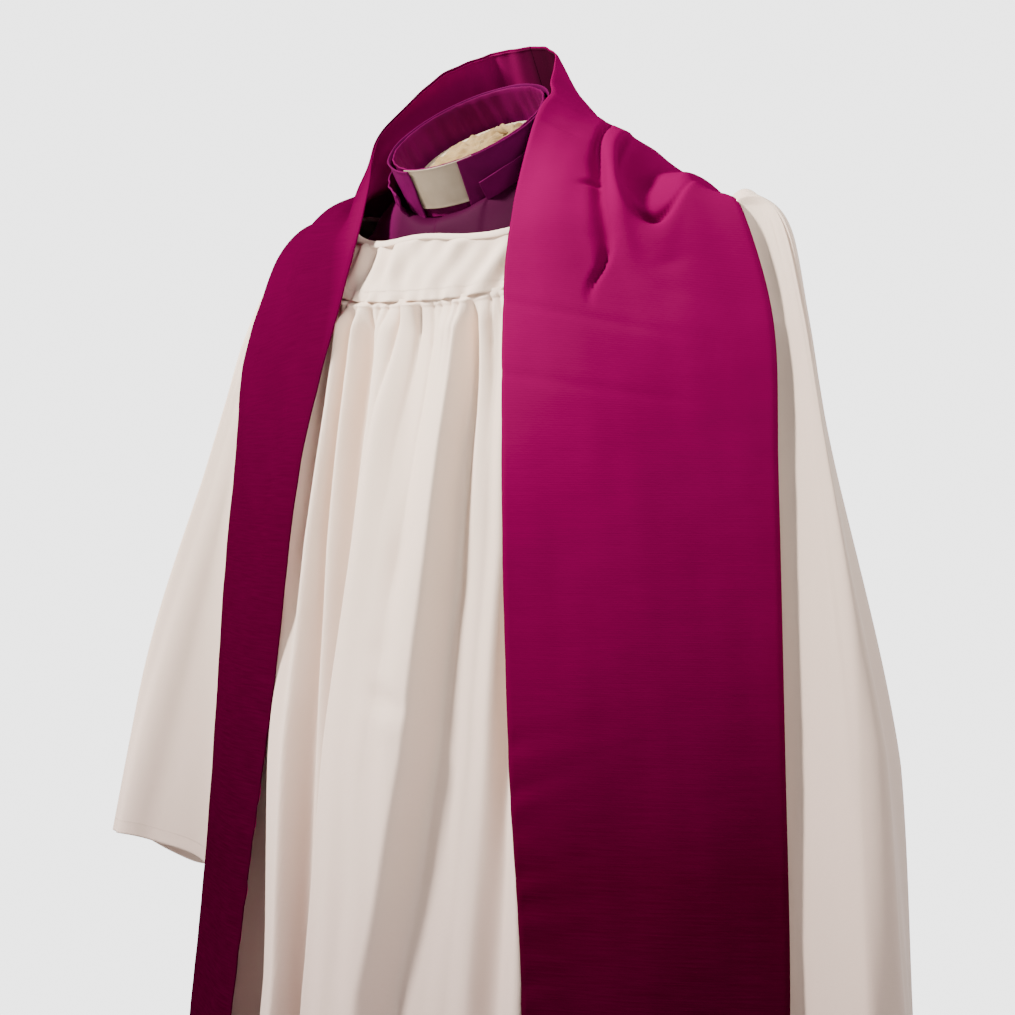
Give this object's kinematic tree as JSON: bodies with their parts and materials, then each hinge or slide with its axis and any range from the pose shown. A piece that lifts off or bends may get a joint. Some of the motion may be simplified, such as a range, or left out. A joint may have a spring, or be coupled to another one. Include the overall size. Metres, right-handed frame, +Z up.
{
  "type": "dressed vestment display form",
  "caption": "Headless display form on a pole stand, dressed in a white surplice, a clerical collar and a wide plain stole that lifts off.",
  "frame": {"origin": "on the floor, at the pole's axis", "axes": "+Z up, -Y the way the form faces, +X the wearer's left"},
  "size_m": [0.8441, 0.4456, 1.4912],
  "materials": {
    "rubber": "ribbed black rubber floor pad",
    "black_steel": "satin black powder coat",
    "knob_plastic": "fine-grained black plastic",
    "chrome": "bright plated steel tube",
    "beech": "oiled beech",
    "calico": "unbleached calico, plain weave",
    "purple_cloth": "purple polyester and cotton cloth, smooth",
    "cream_tab": "smooth cream tab with a bright top edge",
    "white_cotton": "warm white cotton, plain weave",
    "magenta_silk": "magenta ribbed silk faille with a soft sheen",
    "stole_lining": "plain satin lining in a darker magenta"
  },
  "bodies": {
    "stand": {"floor_pad": "rubber", "base_plate": "black_steel", "base_boss": "black_steel", "outer_tube": "black_steel", "clamp_collar": "black_steel"},
    "clamp": {"clamp_knob": "knob_plastic"},
    "mast": {"inner_pole": "chrome", "pole_flange": "black_steel", "pole_spigot": "chrome"},
    "form": {"form_base_cap": "beech", "form_torso": "calico", "form_neck": "calico", "neck_cap": "calico", "neck_gather": "calico", "shirt_collar_inner": "purple_cloth", "shirt_collar_outer": "purple_cloth", "cassock_collar": "purple_cloth", "cassock_front": "purple_cloth", "cassock_back": "purple_cloth", "neck_binding": "white_cotton", "yoke_front": "white_cotton", "yoke_back": "white_cotton", "body_front": "white_cotton", "body_back": "white_cotton", "hem_front": "white_cotton", "hem_back": "white_cotton", "sleeve_left": "white_cotton", "sleeve_right": "white_cotton", "cuff_left": "white_cotton", "cuff_right": "white_cotton", "sleeve_padding_left": "calico", "sleeve_padding_right": "calico"},
    "tab": {"collar_tab": "cream_tab"},
    "stole": {"stole_left": "magenta_silk", "stole_right": "magenta_silk", "stole_lining_left": "stole_lining", "stole_lining_right": "stole_lining"}
  },
  "joints": [
    {"name": "clamp_turn", "type": "hinge", "parent": "stand", "child": "clamp", "pos_m": [0, 0.05, 0.69], "axis": [0, 1, 0], "range_deg": [0, 360]},
    {"name": "height_slide", "type": "slide", "parent": "stand", "child": "mast", "axis": [0, 0, 1], "range_m": [-0.05, 0.15]},
    {"name": "form_turn", "type": "hinge", "parent": "mast", "child": "form", "pos_m": [0, 0, 0.83], "axis": [0, 0, 1], "continuous": true},
    {"name": "tab_slide", "type": "hinge", "parent": "form", "child": "tab", "pos_m": [0, -0.065, 1.424], "axis": [0, -0.5736, 0.8192], "range_deg": [-12, 12]},
    {"name": "stole_lift", "type": "slide", "parent": "form", "child": "stole", "axis": [0, 0, 1], "range_m": [0, 0.4]}
  ]
}
